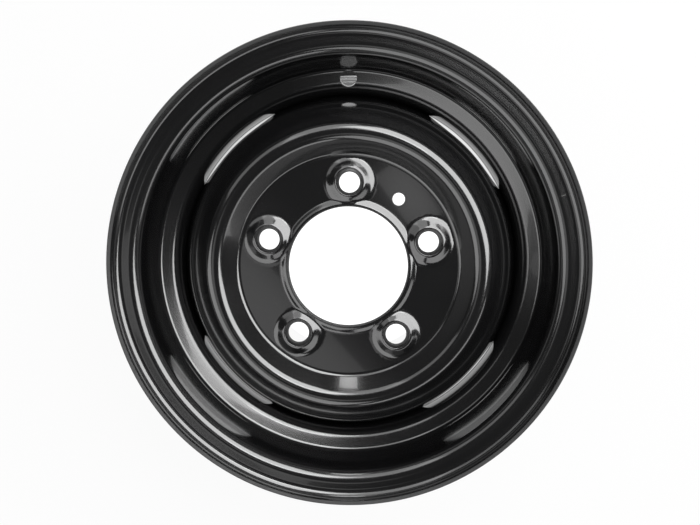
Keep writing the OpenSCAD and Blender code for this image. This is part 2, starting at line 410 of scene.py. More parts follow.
def columns_and_rows(g, points, steps, section):
    """A grid of points by steps: its mesh, each point's section position, edge and row number."""
    grid = g.add("GeometryNodeMeshGrid", {}, {"Vertices X": steps + 1, "Vertices Y": points + 1})["Mesh"]
    index = g.add("GeometryNodeInputIndex")["Index"]
    column = index.mod(points + 1).mod(points)
    row = (index / (points + 1)).floor()
    position = g.add("GeometryNodeInputPosition")["Position"]
    spot = g.add("GeometryNodeSampleIndex", {"data_type": "FLOAT_VECTOR"},
                 {"Geometry": section, "Value": position, "Index": column})["Value"]
    label = g.add("GeometryNodeInputNamedAttribute", {"data_type": "FLOAT"}, {"Name": "edge"})["Attribute"]
    edge = g.add("GeometryNodeSampleIndex", {"data_type": "FLOAT"},
                 {"Geometry": section, "Value": label, "Index": column})["Value"]
    return grid, g.add("ShaderNodeSeparateXYZ", {}, {"Vector": spot}), edge, row


def closed_grid(g, grid, place, edge):
    """Moves the grid to its place, keeps the edge attribute and joins the grid's seams."""
    moved = g.add("GeometryNodeSetPosition", {}, {"Geometry": grid, "Position": place})["Geometry"]
    kept = g.add("GeometryNodeStoreNamedAttribute", {"data_type": "FLOAT", "domain": "POINT"},
                 {"Geometry": moved, "Name": "edge", "Value": edge})["Geometry"]
    return g.add("GeometryNodeMergeByDistance", {}, {"Geometry": kept, "Distance": 1e-6})["Geometry"]


print("grids can follow a section")

# %% A tree that turns a section
hoop_tree, g = node_tree("turned_hoop", {
    "Points": "Int", "Steps": "Int", "Hole Radius": "Float", "Hole Place": "Vector", "Hole Turn": "Vector",
    "Paint": "Material",
})
given = g.add("NodeGroupInput")
grid, spot, edge, row = columns_and_rows(g, given["Points"], given["Steps"], given["Geometry"])
angle = row / given["Steps"] * math.tau
place = g.add("ShaderNodeCombineXYZ", {}, {
    "X": spot["X"] * angle.cos(), "Y": spot["X"] * angle.sin(), "Z": spot["Z"],
})["Vector"]
hoop = closed_grid(g, grid, place, edge)
DRILL_SIDES, DRILL_LENGTH = 96, 0.021
drill = g.add("GeometryNodeMeshCylinder", {}, {
    "Vertices": DRILL_SIDES, "Radius": given["Hole Radius"], "Depth": DRILL_LENGTH,
})["Mesh"]
drill = g.add("GeometryNodeTransform", {}, {
    "Geometry": drill, "Translation": given["Hole Place"], "Rotation": given["Hole Turn"],
})["Geometry"]
drilled = g.add("GeometryNodeMeshBoolean", {"operation": "DIFFERENCE", "solver": "EXACT"},
                {"Mesh 1": hoop, "Mesh 2": drill})["Mesh"]
finished(g, drilled, given["Paint"])
print("hoop tree:", len(hoop_tree.nodes), "nodes")

# %% The hoop
HOOP_STEPS = 256
valve_hole_r, valve_drop, valve_lean = 8.4, 10.6, math.radians(27)
hole_r = ledge_out_corner[0] - valve_drop * math.cos(lean_out)
hole_z = ledge_out_corner[1] - valve_drop * math.sin(lean_out)
rim = made_by_nodes("rim_hoop", section_mesh("rim_section", rim_outline, rim_edge), hoop_tree, {
    "Points": len(rim_outline), "Steps": HOOP_STEPS, "Hole Radius": valve_hole_r * MM,
    "Hole Place": (0, hole_r * MM, hole_z * MM), "Hole Turn": (valve_lean, 0, 0), "Paint": rim_paint,
})
print("hoop:", len(rim.data.polygons), "faces")

# %% [markdown]
# ## True normals round the valve hole
# A boolean leaves long thin faces round a hole, and gloss paint shows every one of them. The shape
# is known exactly, so each point gets the normal of the section itself, and the hole's wall gets
# normals that point to the hole's axis. Then the cut faces shade like the rest of the hoop.

# %% Normals from a section
BATCH = 4000


def outline_normals(outline):
    """Outward unit normals at the points of a closed outline."""
    along = np.roll(outline, -1, 0) - np.roll(outline, 1, 0)
    normals = np.stack([along[:, 1], -along[:, 0]], axis=1)
    x, y = outline.T
    area = np.sum(x * np.roll(y, -1) - y * np.roll(x, -1))
    return normals / np.linalg.norm(normals, axis=1, keepdims=True) * np.sign(area)


def section_normals(points, outline):
    """Normals at points of a turned section, from the nearest place on its outline."""
    radius = np.hypot(points[:, 0], points[:, 1])
    flat = np.stack([radius, points[:, 2]], axis=1)
    a, b = outline, np.roll(outline, -1, 0)
    na = outline_normals(outline)
    nb = np.roll(na, -1, 0)
    out = np.zeros_like(points)
    for first in range(0, len(points), BATCH):
        batch = slice(first, first + BATCH)
        p = flat[batch]
        t = np.clip(np.sum((p[:, None] - a) * (b - a), 2) / np.sum((b - a) ** 2, 1), 0, 1)
        gap = np.sum((p[:, None] - a - t[..., None] * (b - a)) ** 2, 2)
        best = np.argmin(gap, 1)
        s = t[np.arange(len(p)), best][:, None]
        n = na[best] * (1 - s) + nb[best] * s
        spoke = points[batch, :2] / radius[batch, None]
        out[batch] = np.concatenate([spoke * n[:, :1], n[:, 1:]], axis=1)
    return out / np.linalg.norm(out, axis=1, keepdims=True)


def mesh_points(mesh):
    co = np.empty(len(mesh.vertices) * 3)
    mesh.vertices.foreach_get("co", co)
    return co.reshape(-1, 3)


print("outline normals:", len(outline_normals(rim_outline)))

# %% Normals of the hoop
DRILL_SLACK = 0.02
points = mesh_points(rim.data) / MM
normals = section_normals(points, rim_outline)
hole_axis = np.array([0, -math.sin(valve_lean), math.cos(valve_lean)])
offset = points - np.array([0, hole_r, hole_z])
offset -= np.outer(offset @ hole_axis, hole_axis)
on_drill = np.abs(np.linalg.norm(offset, axis=1) - valve_hole_r) < DRILL_SLACK
loop_normals = []
for face in rim.data.polygons:
    drilled_face = abs(face.normal @ Vector(hole_axis)) < 0.2 and all(on_drill[v] for v in face.vertices)
    for v in face.vertices:
        loop_normals.append(-offset[v] / valve_hole_r if drilled_face else normals[v])
rim.data.normals_split_custom_set(loop_normals)
print("points on the valve hole:", int(on_drill.sum()))

# %% [markdown]
# ## The plate's section
# The plate is pressed from thicker stock. Its section runs from the bore, over a turned-out collar,
# along the flat hub face, up to the crown, down the long curved shoulder and back along the skirt
# that slides into the well. Tangents fix the crown: one from the hub face's corner, one from the
# shoulder's corner, both touching the same round. The shoulder's corner stands a little out from the
# straight line to the skirt, and a large bend radius turns it into a gentle curve.

# %% The plate's section
disc_t, hub_face_r, hub_fillet_r = 6.25, 109.2, 6.0
crown_run, crown_h, crown_r = 21.2, 16.5, 12.0
crown_mid_r = hub_face_r + crown_run
shoulder_bulge, shoulder_r = 5.0, 60.0
skirt_bend_r, skirt_lead, skirt_gap, weld_room = 12.0, 2.8, 0.05, 9.0
bore_r, collar_h, collar_foot_r, collar_top_r = 58.85, 3.0, 67.0, 61.8
collar_r, collar_fillet_r = 7.5, 5.0

flat_out_z = well_out_z - well_bend_out_r * math.tan((math.pi / 2 - lean_out) / 2)
flat_in_z = well_in_z + well_bend_in_r * math.tan((math.pi / 2 - lean_in) / 2)
skirt_r = well_r - rim_t - skirt_gap
skirt_corner = (skirt_r, flat_out_z + skirt_lead)
skirt_end_z = flat_in_z + weld_room
crown_centre = (crown_mid_r, disc_t + crown_h - crown_r)


def tangent_slope(run, rise):
    """Slope of the line that starts a run and a rise away from the crown's centre and just touches it."""
    return math.tan(math.atan2(rise, run) + math.asin(crown_r / math.hypot(run, rise)))


inner_slope = tangent_slope(crown_mid_r - hub_face_r, crown_centre[1] - disc_t)
straight = math.atan(tangent_slope(skirt_r - crown_mid_r, crown_centre[1] - skirt_corner[1]))
lean = np.array([math.sin(straight), math.cos(straight)])
shoulder_start = np.array(crown_centre) + crown_r * lean
shoulder_corner = (shoulder_start + skirt_corner) / 2 + shoulder_bulge * lean
upper_slope = tangent_slope(shoulder_corner[0] - crown_mid_r, crown_centre[1] - shoulder_corner[1])
lower_slope = (shoulder_corner[1] - skirt_corner[1]) / (skirt_r - shoulder_corner[0])
crown_reach = inner_slope * hub_face_r + upper_slope * shoulder_corner[0]
crown_corner_r = (shoulder_corner[1] - disc_t + crown_reach) / (inner_slope + upper_slope)
disc_corners = [
    (bore_r - 2, disc_t + collar_h, 0),
    (collar_top_r, disc_t + collar_h, collar_r),
    (collar_foot_r, disc_t, collar_fillet_r),
    (hub_face_r, disc_t, hub_fillet_r),
    (crown_corner_r, disc_t + inner_slope * (crown_corner_r - hub_face_r), crown_r),
    (*shoulder_corner, shoulder_r),
    (*skirt_corner, skirt_bend_r),
    (skirt_r, skirt_end_z, 0),
]
slopes = [round(math.degrees(math.atan(slope)), 1) for slope in (inner_slope, upper_slope, lower_slope)]
print("slopes inside the crown, below it and above the skirt:", slopes, "degrees")

# %% [markdown]
# ## The pressed middle of the plate
# Round the bore the plate is a relief: a collar, five bosses with conical nut seats, hollows behind
# the bosses and a small locating hole. Everything there can be written as a height over the flat
# plane, and smooth joins between the forms give the soft corners of a pressing. Points are laid in
# rings where the form needs them and joined by a Delaunay triangulation. The normals come from the
# height formula, so the triangles never show.

# %% Sizes of the pressed middle
DISC_TURN = math.radians(-1)
stud_circle_r, stud_hole_r, pilot_hole_r = 82.55, 10.25, 6.25
boss_foot_r, boss_top_r, boss_h, boss_crest = 23.2, 14.5, 5.5, 1.2
nut_seat_half = math.radians(30)
hollow_foot_r, hollow_top_r, hollow_h = 20.0, 14.0, 3.0
JOIN_R = 106.2
BORE_ROUND, STUD_ROUND, PILOT_ROUND = 0.8, 0.35, 0.6
SEAT_JOIN, TOP_JOIN, FOOT_JOIN = 1.0, 0.8, 2.2
stud_angles = [math.pi / 2 + DISC_TURN + math.tau * i / 5 for i in range(5)]
studs = np.array([[stud_circle_r * math.cos(a), stud_circle_r * math.sin(a)] for a in stud_angles])
pilot_angle = math.pi / 2 + DISC_TURN - math.pi / 5
pilot = np.array([stud_circle_r * math.cos(pilot_angle), stud_circle_r * math.sin(pilot_angle)])
EXACT_STEP = 0.5
middle_front = joined(sheet_bends(disc_corners, 0, EXACT_STEP)[:4])
middle_back = joined(sheet_bends(disc_corners, -disc_t, EXACT_STEP)[:4])
print("stud holes:", len(studs), "on a circle of", 2 * stud_circle_r, "mm")

# %% Heights of the pressed middle
def soft_max(a, b, width):
    """The larger of two heights, with a smooth join of that width where they cross."""
    h = np.clip(0.5 + 0.5 * (a - b) / width, 0, 1)
    return b + (a - b) * h + width * h * (1 - h)


def soft_min(a, b, width):
    return -soft_max(-a, -b, width)


def round_off(gap, radius):
    """How far a face falls away within a small round at a hole's edge."""
    inside = np.clip(radius - gap, 0, radius)
    return radius - np.sqrt(np.maximum(radius * radius - inside * inside, 0))


def hole_gaps(xy):
    """Distance of each point from the axis, from the nearest stud hole's centre and from the pilot's."""
    r = np.hypot(*xy.T)
    d = np.min(np.hypot(*(xy[:, None] - studs[None]).transpose(2, 0, 1)), axis=1)
    return r, d, np.hypot(*(xy - pilot).T)


def edge_drop(r, d, p):
    """How far a face falls away at the edges of the bore, the stud holes and the pilot hole."""
    near_bore, near_stud = round_off(r - bore_r, BORE_ROUND), round_off(d - stud_hole_r, STUD_ROUND)
    return near_bore + near_stud + round_off(p - pilot_hole_r, PILOT_ROUND)


def front_height(xy):
    r, d, p = hole_gaps(xy)
    base = np.interp(r, middle_front[:, 0], middle_front[:, 1])
    top = disc_t + boss_h
    cone = top - (d - boss_top_r) * boss_h / (boss_foot_r - boss_top_r)
    seat = top - (boss_top_r - boss_crest - d) / math.tan(nut_seat_half)
    boss = soft_min(soft_min(cone, seat, SEAT_JOIN), top + 0 * d, TOP_JOIN)
    return np.where(d < boss_top_r, boss, soft_max(base, boss, FOOT_JOIN)) - edge_drop(r, d, p)


def back_height(xy):
    r, d, p = hole_gaps(xy)
    base = np.interp(r, middle_back[:, 0], middle_back[:, 1])
    slope = hollow_h * (hollow_foot_r - d) / (hollow_foot_r - hollow_top_r)
    hollow = soft_min(slope, hollow_h + 0 * d, TOP_JOIN)
    return soft_max(base, hollow, TOP_JOIN) + edge_drop(r, d, p)


def relief_normals(xy, height, up):
    """Unit normals of a height over the plane."""
    step = 0.01
    dx = (height(xy + [step, 0]) - height(xy - [step, 0])) / (2 * step)
    dy = (height(xy + [0, step]) - height(xy - [0, step])) / (2 * step)
    n = np.stack([-dx, -dy, np.ones(len(xy))], axis=1) * up
    return n / np.linalg.norm(n, axis=1, keepdims=True)


print("boss top:", disc_t + boss_h, "mm above the mounting face")

# %% Points and triangles of the pressed middle
def ring(centre, radius, count, turn=0.0):
    a = turn + math.tau * np.arange(count) / count
    return np.stack([centre[0] + radius * np.cos(a), centre[1] + radius * np.sin(a)], axis=1)


BORE_COUNT, STUD_COUNT, PILOT_COUNT = 216, 72, 40


def middle_mesh(outer_angles, height, up, stud_rings):
    """Points, normals and triangles of one face of the plate's middle, and its edge loops."""
    outer = np.stack([JOIN_R * np.cos(outer_angles), JOIN_R * np.sin(outer_angles)], axis=1)
    loops = [outer, ring((0, 0), bore_r, BORE_COUNT)]
    loops += [ring(c, stud_hole_r, STUD_COUNT, a) for c, a in zip(studs, stud_angles)]
    loops.append(ring(pilot, pilot_hole_r, PILOT_COUNT))
    starts = np.cumsum([0] + [len(loop) for loop in loops])
    edges = [
        (first + i, first + (i + 1) % len(loop))
        for first, loop in zip(starts, loops) for i in range(len(loop))
    ]
    spare = [ring(c, d, STUD_COUNT, a) for c, a in zip(studs, stud_angles) for d in stud_rings]
    spare += [ring(pilot, pilot_hole_r + d, PILOT_COUNT) for d in (0.05, 0.15, 0.35, 0.6, 1.2, 2.2)]
    rows = [(bore_r + d, BORE_COUNT) for d in (0.06, 0.2, 0.45, 0.8)]
    rows += [(r, BORE_COUNT) for r in np.arange(60.2, 69.5, 0.6)]
    rows += [(r, round(math.tau * r / 2.4)) for r in np.arange(71, JOIN_R - 1, 2.2)]
    for r, count in rows:
        row = ring((0, 0), r, count)
        _, d, p = hole_gaps(row)
        spare.append(row[(d > max(stud_rings) + 0.6) & (p > pilot_hole_r + 2.8)])
    extra = np.concatenate(spare)
    r, d, p = hole_gaps(extra)
    on_plate = (r > bore_r + 0.03) & (r < JOIN_R - 0.3)
    extra = extra[on_plate & (d > stud_hole_r + 0.02) & (p > pilot_hole_r + 0.02)]
    xy = np.concatenate(loops + [extra])
    found = delaunay_2d_cdt([Vector(q) for q in xy], edges, [], 0, 1e-6)
    xy = np.array([tuple(v) for v in found[0]])
    origin = {old: new for new, olds in enumerate(found[3]) for old in olds}
    triangles = np.array(found[2])
    r, d, p = hole_gaps(xy[triangles].mean(axis=1))
    triangles = triangles[(r > bore_r) & (d > stud_hole_r * 0.999) & (p > pilot_hole_r * 0.998)]
    loops = [[origin[first + i] for i in range(len(loop))] for first, loop in zip(starts, loops)]
    z = height(xy)
    normals = relief_normals(xy, height, up)
    for loop, centre in zip(loops[1:], [np.zeros(2), *studs, pilot]):
        inward = centre - xy[loop]
        normals[loop] = np.pad(inward / np.linalg.norm(inward, axis=1, keepdims=True), ((0, 0), (0, 1)))
    r, d, p = hole_gaps(xy)
    near = np.minimum(np.minimum(r - bore_r, d - stud_hole_r), p - pilot_hole_r)
    return np.column_stack([xy, z]), normals, triangles, loops, np.clip(1.3 - near, 0, 1)


hole_rings = [stud_hole_r + d for d in (0.03, 0.1, 0.2, 0.35)]
front_rings = hole_rings + [11.0, 11.7, 12.4, 12.8, 13.1, 13.4, 13.7, 14.0, 14.3, 14.6, 15.0, 15.6]
front_rings += [16.6, 17.8, 19.0, 20.0, 20.8, 21.5, 22.2, 22.9, 23.6, 24.4, 25.3]
back_rings = hole_rings + [11.4, 12.6, 13.2, 13.6, 14.0, 14.4, 15.0, 16.2, 17.6]
back_rings += [18.8, 19.4, 19.8, 20.2, 20.6, 21.4, 22.8, 24.6]
print("rings round a stud hole:", len(front_rings), "in front,", len(back_rings), "behind")

# %% [markdown]
# ## The crown, the shoulder and the skirt
# Outside the hub face the plate is turned, except that four wide openings are cut in the skirt so
# that air and water can pass between plate and hoop. The grid here has one line of points for every
# angle. Lines that meet an opening stop at its edge, and lines are packed closer in its corners. Those
# corners are long and flat, so that the gap to the hoop runs out to a point as it does on the wheel.
# Front and back are two such grids, and the cut edge between them gets a small round on each side.

# %% Lines of the turned part
vent_gap, vent_half = 4.4, 54.0
vent_corner_run, vent_corner_drop = 34.0, 20.0
vent_edge_z = skirt_corner[1] + vent_gap * lower_slope
EDGE_ROUND, TAIL_LEAD = 0.9, 2.5
COARSE_STEP, LONGEST_ROW = 3.6, 4.0
CORNER_STEPS, FLAT_STEPS, TONGUE_STEPS = 12, 6, 16
SHORT_ROWS, LONG_ROWS = 20, 8


class PlateFace:
    """One face of the turned part: a fixed stretch, then a tail that openings may cut short."""

    def __init__(self, shift):
        coarse = sheet_bends(disc_corners, shift, COARSE_STEP)
        exact = sheet_bends(disc_corners, shift, EXACT_STEP)
        start = np.array([[JOIN_R, disc_t + shift]])
        shoulder_end = exact[5][-1]
        tail_z = vent_edge_z + EDGE_ROUND + TAIL_LEAD
        tail_r = shoulder_end[0] + (shoulder_end[1] - tail_z) / lower_slope
        self.fixed = filled_in(np.concatenate([start, *coarse[3:6], [[tail_r, tail_z]]]), LONGEST_ROW)
        self.tail = np.concatenate([[[tail_r, tail_z]], exact[6], exact[7]])
        self.length = np.concatenate([[0], np.cumsum(np.hypot(*np.diff(self.tail, axis=0).T))])

    def reach(self, z):
        """Length along the tail down to a height."""
        return np.interp(-z, -self.tail[:, 1], self.length)

    def at(self, length):
        return np.stack([np.interp(length, self.length, self.tail[:, k]) for k in (0, 1)], axis=-1)

    def angle(self, y, z):
        """Angle from an opening's middle of the point at a height and a distance to the side."""
        return math.asin(y / float(self.at(self.reach(z))[0]))


def vent_edge(grow):
    """Half an opening's edge from its middle to its side, as pairs of side distance and height."""
    flat = vent_half - vent_corner_run
    edge = [(flat * i / FLAT_STEPS, vent_edge_z + grow) for i in range(FLAT_STEPS)]
    for i in range(CORNER_STEPS + 1):
        a = math.pi / 2 * i / CORNER_STEPS
        edge.append((flat + (vent_corner_run + grow) * math.sin(a),
                     vent_edge_z - vent_corner_drop + (vent_corner_drop + grow) * math.cos(a)))
    return edge


def plate_lines(face):
    """All lines round one face: angle, tail length, and the sharp edge's angle and height or None."""
    soft, sharp = vent_edge(EDGE_ROUND), vent_edge(0)
    side = face.angle(*soft[-1])
    half = [(face.angle(*a), face.reach(a[1]), (face.angle(*b), b[1])) for a, b in zip(soft, sharp)]
    corner = half[-1][1]
    tongue = [
        (side + (math.pi / 4 - side) * i / TONGUE_STEPS, corner, None) for i in range(1, TONGUE_STEPS + 1)
    ]
    right = half + tongue
    left = [(-a, t, e and (-e[0], e[1])) for a, t, e in reversed(right[1:-1])]
    lines = []
    for quarter in range(4):
        middle = math.pi / 4 + DISC_TURN + quarter * math.pi / 2
        for a, t, e in left + right:
            lines.append((middle + a, t, e and (middle + e[0], e[1])))
    return lines


def round_the_axis(r, z, angle):
    return np.stack([r * np.cos(angle), r * np.sin(angle), z + 0 * angle], axis=-1)


print("opening edge at z", round(vent_edge_z, 2), "mm, skirt end at", round(skirt_end_z, 2), "mm")

# %% Points of the turned part
def angle_middle(angle):
    """Angle of the middle of the opening that an angle belongs to."""
    quarter = math.pi / 2
    first = math.pi / 4 + DISC_TURN
    return first + quarter * round((angle - first) / quarter)


def turned_part(face, up):
    """Points, normals, quads, the inner loop and the cut edge of one face of the turned part."""
    lines = plate_lines(face)
    points, normals, columns, rims = [], [], [], []
    for angle, t, e in lines:
        whole = e is None or abs(e[1] - (vent_edge_z - vent_corner_drop)) < 1e-6
        stops = [t * (i + 1) / SHORT_ROWS for i in range(SHORT_ROWS)]
        if whole:
            last = face.length[-1] - EDGE_ROUND
            stops += [t + (last - t) * (i + 1) / LONG_ROWS for i in range(LONG_ROWS)]
        rz = np.concatenate([face.fixed, face.at(np.array(stops))])
        along = np.gradient(rz, axis=0)
        tail = face.at(np.array(stops) + 0.02) - face.at(np.array(stops) - 0.02)
        along[len(face.fixed):] = tail
        n = np.stack([-along[:, 1], along[:, 0]], axis=1)
        n *= up / np.linalg.norm(n, axis=1, keepdims=True)
        first = sum(len(p) for p in points)
        points.append(round_the_axis(rz[:, 0], rz[:, 1], np.full(len(rz), angle)))
        normals.append(round_the_axis(n[:, 0], n[:, 1], np.full(len(rz), angle)))
        columns.append(list(range(first, first + len(rz))))
        rims.append((whole, e))
    shared = len(face.fixed) + SHORT_ROWS
    quads, cut = [], []
    for i, column in enumerate(columns):
        nxt = columns[(i + 1) % len(columns)]
        count = min(len(column), len(nxt))
        for a in range(count - 1):
            quads.append((column[a], column[a + 1], nxt[a + 1], nxt[a])[::int(up)])
        whole, e = rims[i]
        angle = lines[i][0]
        end = round_the_axis(face.tail[-1][0], face.tail[-1][1], np.array(angle))
        if e is None:
            cut.append((column[-1], end))
            continue
        corner_r = face.at(face.reach(e[1]))[0]
        sharp = round_the_axis(corner_r, e[1], np.array(e[0]))
        if not whole:
            cut.append((column[-1], sharp))
            continue
        going_in = rims[(i + 1) % len(rims)][1] is not None
        end_r = skirt_r if up > 0 else skirt_r - disc_t
        side = [(column[-1], round_the_axis(end_r, skirt_end_z, np.array(e[0])))]
        for k in range(shared - 1 + LONG_ROWS - 1, shared - 1, -1):
            z = points[i][k][2]
            r = face.at(face.reach(z))[0]
            middle = angle_middle(e[0])
            side_angle = math.asin(vent_half / r) * (1 if e[0] > middle else -1) + middle
            side.append((column[k], round_the_axis(r, z, np.array(side_angle))))
        side.append((column[shared - 1], sharp))
        cut += side if going_in else side[::-1]
    inner = [column[0] for column in columns]
    return np.concatenate(points), np.concatenate(normals), quads, inner, cut, [a for a, _, _ in lines]


front_face, back_face = PlateFace(0), PlateFace(-disc_t)
print("fixed rows:", len(front_face.fixed), "in front,", len(back_face.fixed), "behind")

# %% [markdown]
# ## Joining the plate
# The plate's mesh is now put together: two turned grids, two pressed middles that share their inner
# loops, walls through every hole, and the rounded cut edge. The points on cut edges are marked in
# the edge attribute for the paint.

# %% Both faces of the plate
class Shell:
    """Collects points, normals, edge marks and faces of one piece."""

    def __init__(self):
        self.points, self.normals, self.edge, self.faces = [], [], [], []

    def add_points(self, points, normals, edge):
        first = len(self.points)
        self.points += [tuple(p) for p in points]
        self.normals += [tuple(n) for n in normals]
        self.edge += list(edge)
        return first

    def strip(self, a, b):
        """Quads between two closed loops of the same length."""
        for i in range(len(a)):
            k = (i + 1) % len(a)
            self.faces.append((a[i], a[k], b[k], b[i]))


shell = Shell()
hole_loops, cut_edges = [], []
for face, up, height, rings in (
    (front_face, 1.0, front_height, front_rings), (back_face, -1.0, back_height, back_rings),
):
    points, normals, quads, inner, cut, angles = turned_part(face, up)
    first = shell.add_points(points, normals, np.zeros(len(points)))
    shell.faces += [tuple(v + first for v in quad) for quad in quads]
    cut_edges.append([(v + first, p) for v, p in cut])
    for v, _ in cut_edges[-1]:
        shell.edge[v] = 0.6
    points, normals, triangles, loops, edge = middle_mesh(np.array(angles), height, up, rings)
    number = {v: inner[i] + first for i, v in enumerate(loops[0])}
    fresh = [v for v in range(len(points)) if v not in number]
    begin = shell.add_points(points[fresh], normals[fresh], edge[fresh])
    number.update({v: begin + i for i, v in enumerate(fresh)})
    shell.faces += [tuple(number[v] for v in t)[::int(up)] for t in triangles]
    hole_loops.append([[number[v] for v in loop] for loop in loops[1:]])
for front, back in zip(*hole_loops):
    shell.strip(front, back)
print("both faces and the hole walls:", len(shell.faces), "faces")

# %% The cut edge
front_cut, back_cut = cut_edges
sharp_front = np.array([p for _, p in front_cut])
sharp_back = np.array([p for _, p in back_cut])
soft_front = np.array([shell.points[v] for v, _ in front_cut])
soft_back = np.array([shell.points[v] for v, _ in back_cut])
wall = sharp_back - sharp_front
wall /= np.linalg.norm(wall, axis=1, keepdims=True)


def corner_curve(a, corner, b, count):
    """Rows of points on a small curve from a to b, pulled to the corner between them."""
    return [(1 - t) ** 2 * a + 2 * t * (1 - t) * corner + t * t * b for t in np.linspace(0, 1, count + 1)]


rows = corner_curve(soft_front, sharp_front, sharp_front + wall * EDGE_ROUND, 4)[1:]
rows += corner_curve(sharp_back - wall * EDGE_ROUND, sharp_back, soft_back, 4)[:-1]
above = [v for v, _ in front_cut]
for row in rows:
    first = shell.add_points(row, np.zeros((len(row), 3)), np.ones(len(row)))
    below = list(range(first, first + len(row)))
    shell.strip(below, above)
    above = below
shell.strip([v for v, _ in back_cut], above)
print("with the cut edge:", len(shell.faces), "faces")

# %% The plate
def shell_piece(name, shell, material):
    mesh = bpy.data.meshes.new(name)
    mesh.from_pydata([tuple(c * MM for c in p) for p in shell.points], [], shell.faces)
    mesh.polygons.foreach_set("use_smooth", [True] * len(mesh.polygons))
    mesh.attributes.new("edge", "FLOAT", "POINT").data.foreach_set("value", np.array(shell.edge, np.float32))
    mesh.materials.append(material)
    mesh.update()
    mesh.normals_split_custom_set_from_vertices(shell.normals)
    piece = bpy.data.objects.new(name, mesh)
    bpy.context.scene.collection.objects.link(piece)
    return piece


disc = shell_piece("disc_plate", shell, disc_paint)
disc.data.calc_loop_triangles()
print("plate:", len(disc.data.loop_triangles), "triangles")

# %% [markdown]
# ## Weld beads
# Each bead is a fillet laid along the skirt's edge. A hand-laid bead has ripples, one for each move
# of the torch, and its ends run out. The tree uses the same grid as the hoop over part of a turn.
# Every section is scaled about the corner that the bead fills, so it stays on both walls. The
# scale carries the ripples, bowed along the bead, and shrinks to nothing at both ends.

# %% The bead's section
FACE_POINTS = 13
weld_leg, weld_bulge, weld_end_gap = 5.0, 0.7, 7.0
weld_half = math.pi / 4 - math.asin((vent_half + weld_end_gap) / skirt_r)
weld_corner = np.array([well_r - rim_t, skirt_end_z])
weld_outline = [weld_corner]
for u in np.linspace(0, 1, FACE_POINTS):
    flat = weld_corner + np.array([-weld_leg * (1 - u), -weld_leg * u])
    weld_outline.append(flat - np.array([1, 1]) / math.sqrt(2) * weld_bulge * 4 * u * (1 - u))
weld_outline = np.array(weld_outline)
weld_side = np.concatenate([[0], np.linspace(0, 1, FACE_POINTS)])
print("bead section:", len(weld_outline), "points, over", round(math.degrees(2 * weld_half), 1), "degrees")

# %% A tree that lays a bead
RIPPLE_BOW, RIPPLE_WANDER, END_POWER = 0.007, 0.12, 22
bead_tree, g = node_tree("laid_bead", {
    "Points": "Int", "Steps": "Int", "Middle": "Float", "Half Angle": "Float", "Corner": "Vector",
    "Ripple Length": "Float", "Ripple Height": "Float", "Paint": "Material",
})
given = g.add("NodeGroupInput")
grid, spot, side, row = columns_and_rows(g, given["Points"], given["Steps"], given["Geometry"])
share = row / given["Steps"] * 2 - 1
corner = g.add("ShaderNodeSeparateXYZ", {}, {"Vector": given["Corner"]})
bow = (side * (1 - side)) * RIPPLE_BOW
travel = share * given["Half Angle"] * corner["X"] + bow
wave = (travel / given["Ripple Length"] * math.pi).sin().abs()
wander = g.add("ShaderNodeTexNoise", {"noise_dimensions": "1D"}, {
    "W": travel + given["Middle"] * 3, "Scale": 90.0, "Detail": 1.0,
})["Fac"]
fade = 1 - share.abs().power(END_POWER)
ends = fade.math("SQRT", fade)
scale = ends * (1 - given["Ripple Height"] * (1 - wave) + RIPPLE_WANDER * (wander - 0.5))
radius = corner["X"] + (spot["X"] - corner["X"]) * scale
angle = given["Middle"] + share * given["Half Angle"]
place = g.add("ShaderNodeCombineXYZ", {}, {
    "X": radius * angle.cos(), "Y": radius * angle.sin(),
    "Z": corner["Z"] + (spot["Z"] - corner["Z"]) * scale,
})["Vector"]
finished(g, closed_grid(g, grid, place, 0.0), given["Paint"])
print("bead tree:", len(bead_tree.nodes), "nodes")

# %% The weld beads
BEAD_STEPS, RIPPLE_LENGTH, RIPPLE_HEIGHT = 320, 0.0034, 0.10
beads = []
for number in range(4):
    section = section_mesh("weld_section", weld_outline, weld_side)
    bead = made_by_nodes(f"weld_bead_laid_{number + 1}", section, bead_tree, {
        "Points": len(weld_outline), "Steps": BEAD_STEPS, "Middle": math.pi / 2 * (number + 1) + DISC_TURN,
        "Half Angle": weld_half, "Corner": (weld_corner[0] * MM, 0, weld_corner[1] * MM),
        "Ripple Length": RIPPLE_LENGTH, "Ripple Height": RIPPLE_HEIGHT, "Paint": weld_paint,
    })
    beads.append(bead)
print("beads:", [len(bead.data.polygons) for bead in beads], "faces")

# %% [markdown]
# ## Everything rides on the frame
# The wheel has no moving parts, so every piece rides on the one body and stands for its own node.

# %% Pieces and bodies
for piece, node, slot in [(rim, "rim", "rim_paint"), (disc, "disc", "disc_paint")] + [
    (bead, f"weld_bead_{i + 1}", "weld_paint") for i, bead in enumerate(beads)
]:
    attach(piece, "root")
    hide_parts(node)
    print(piece.name, "stands for", node)

# %% [markdown]
# ## Camera
# The photograph looks almost straight into the wheel from close by. The focal length, the distance
# and the small tilt were found from the circles of the lip, the hub and the holes, whose centres do
# not quite agree because of the tilt. The lip's widest circle is the plane that distances start from.

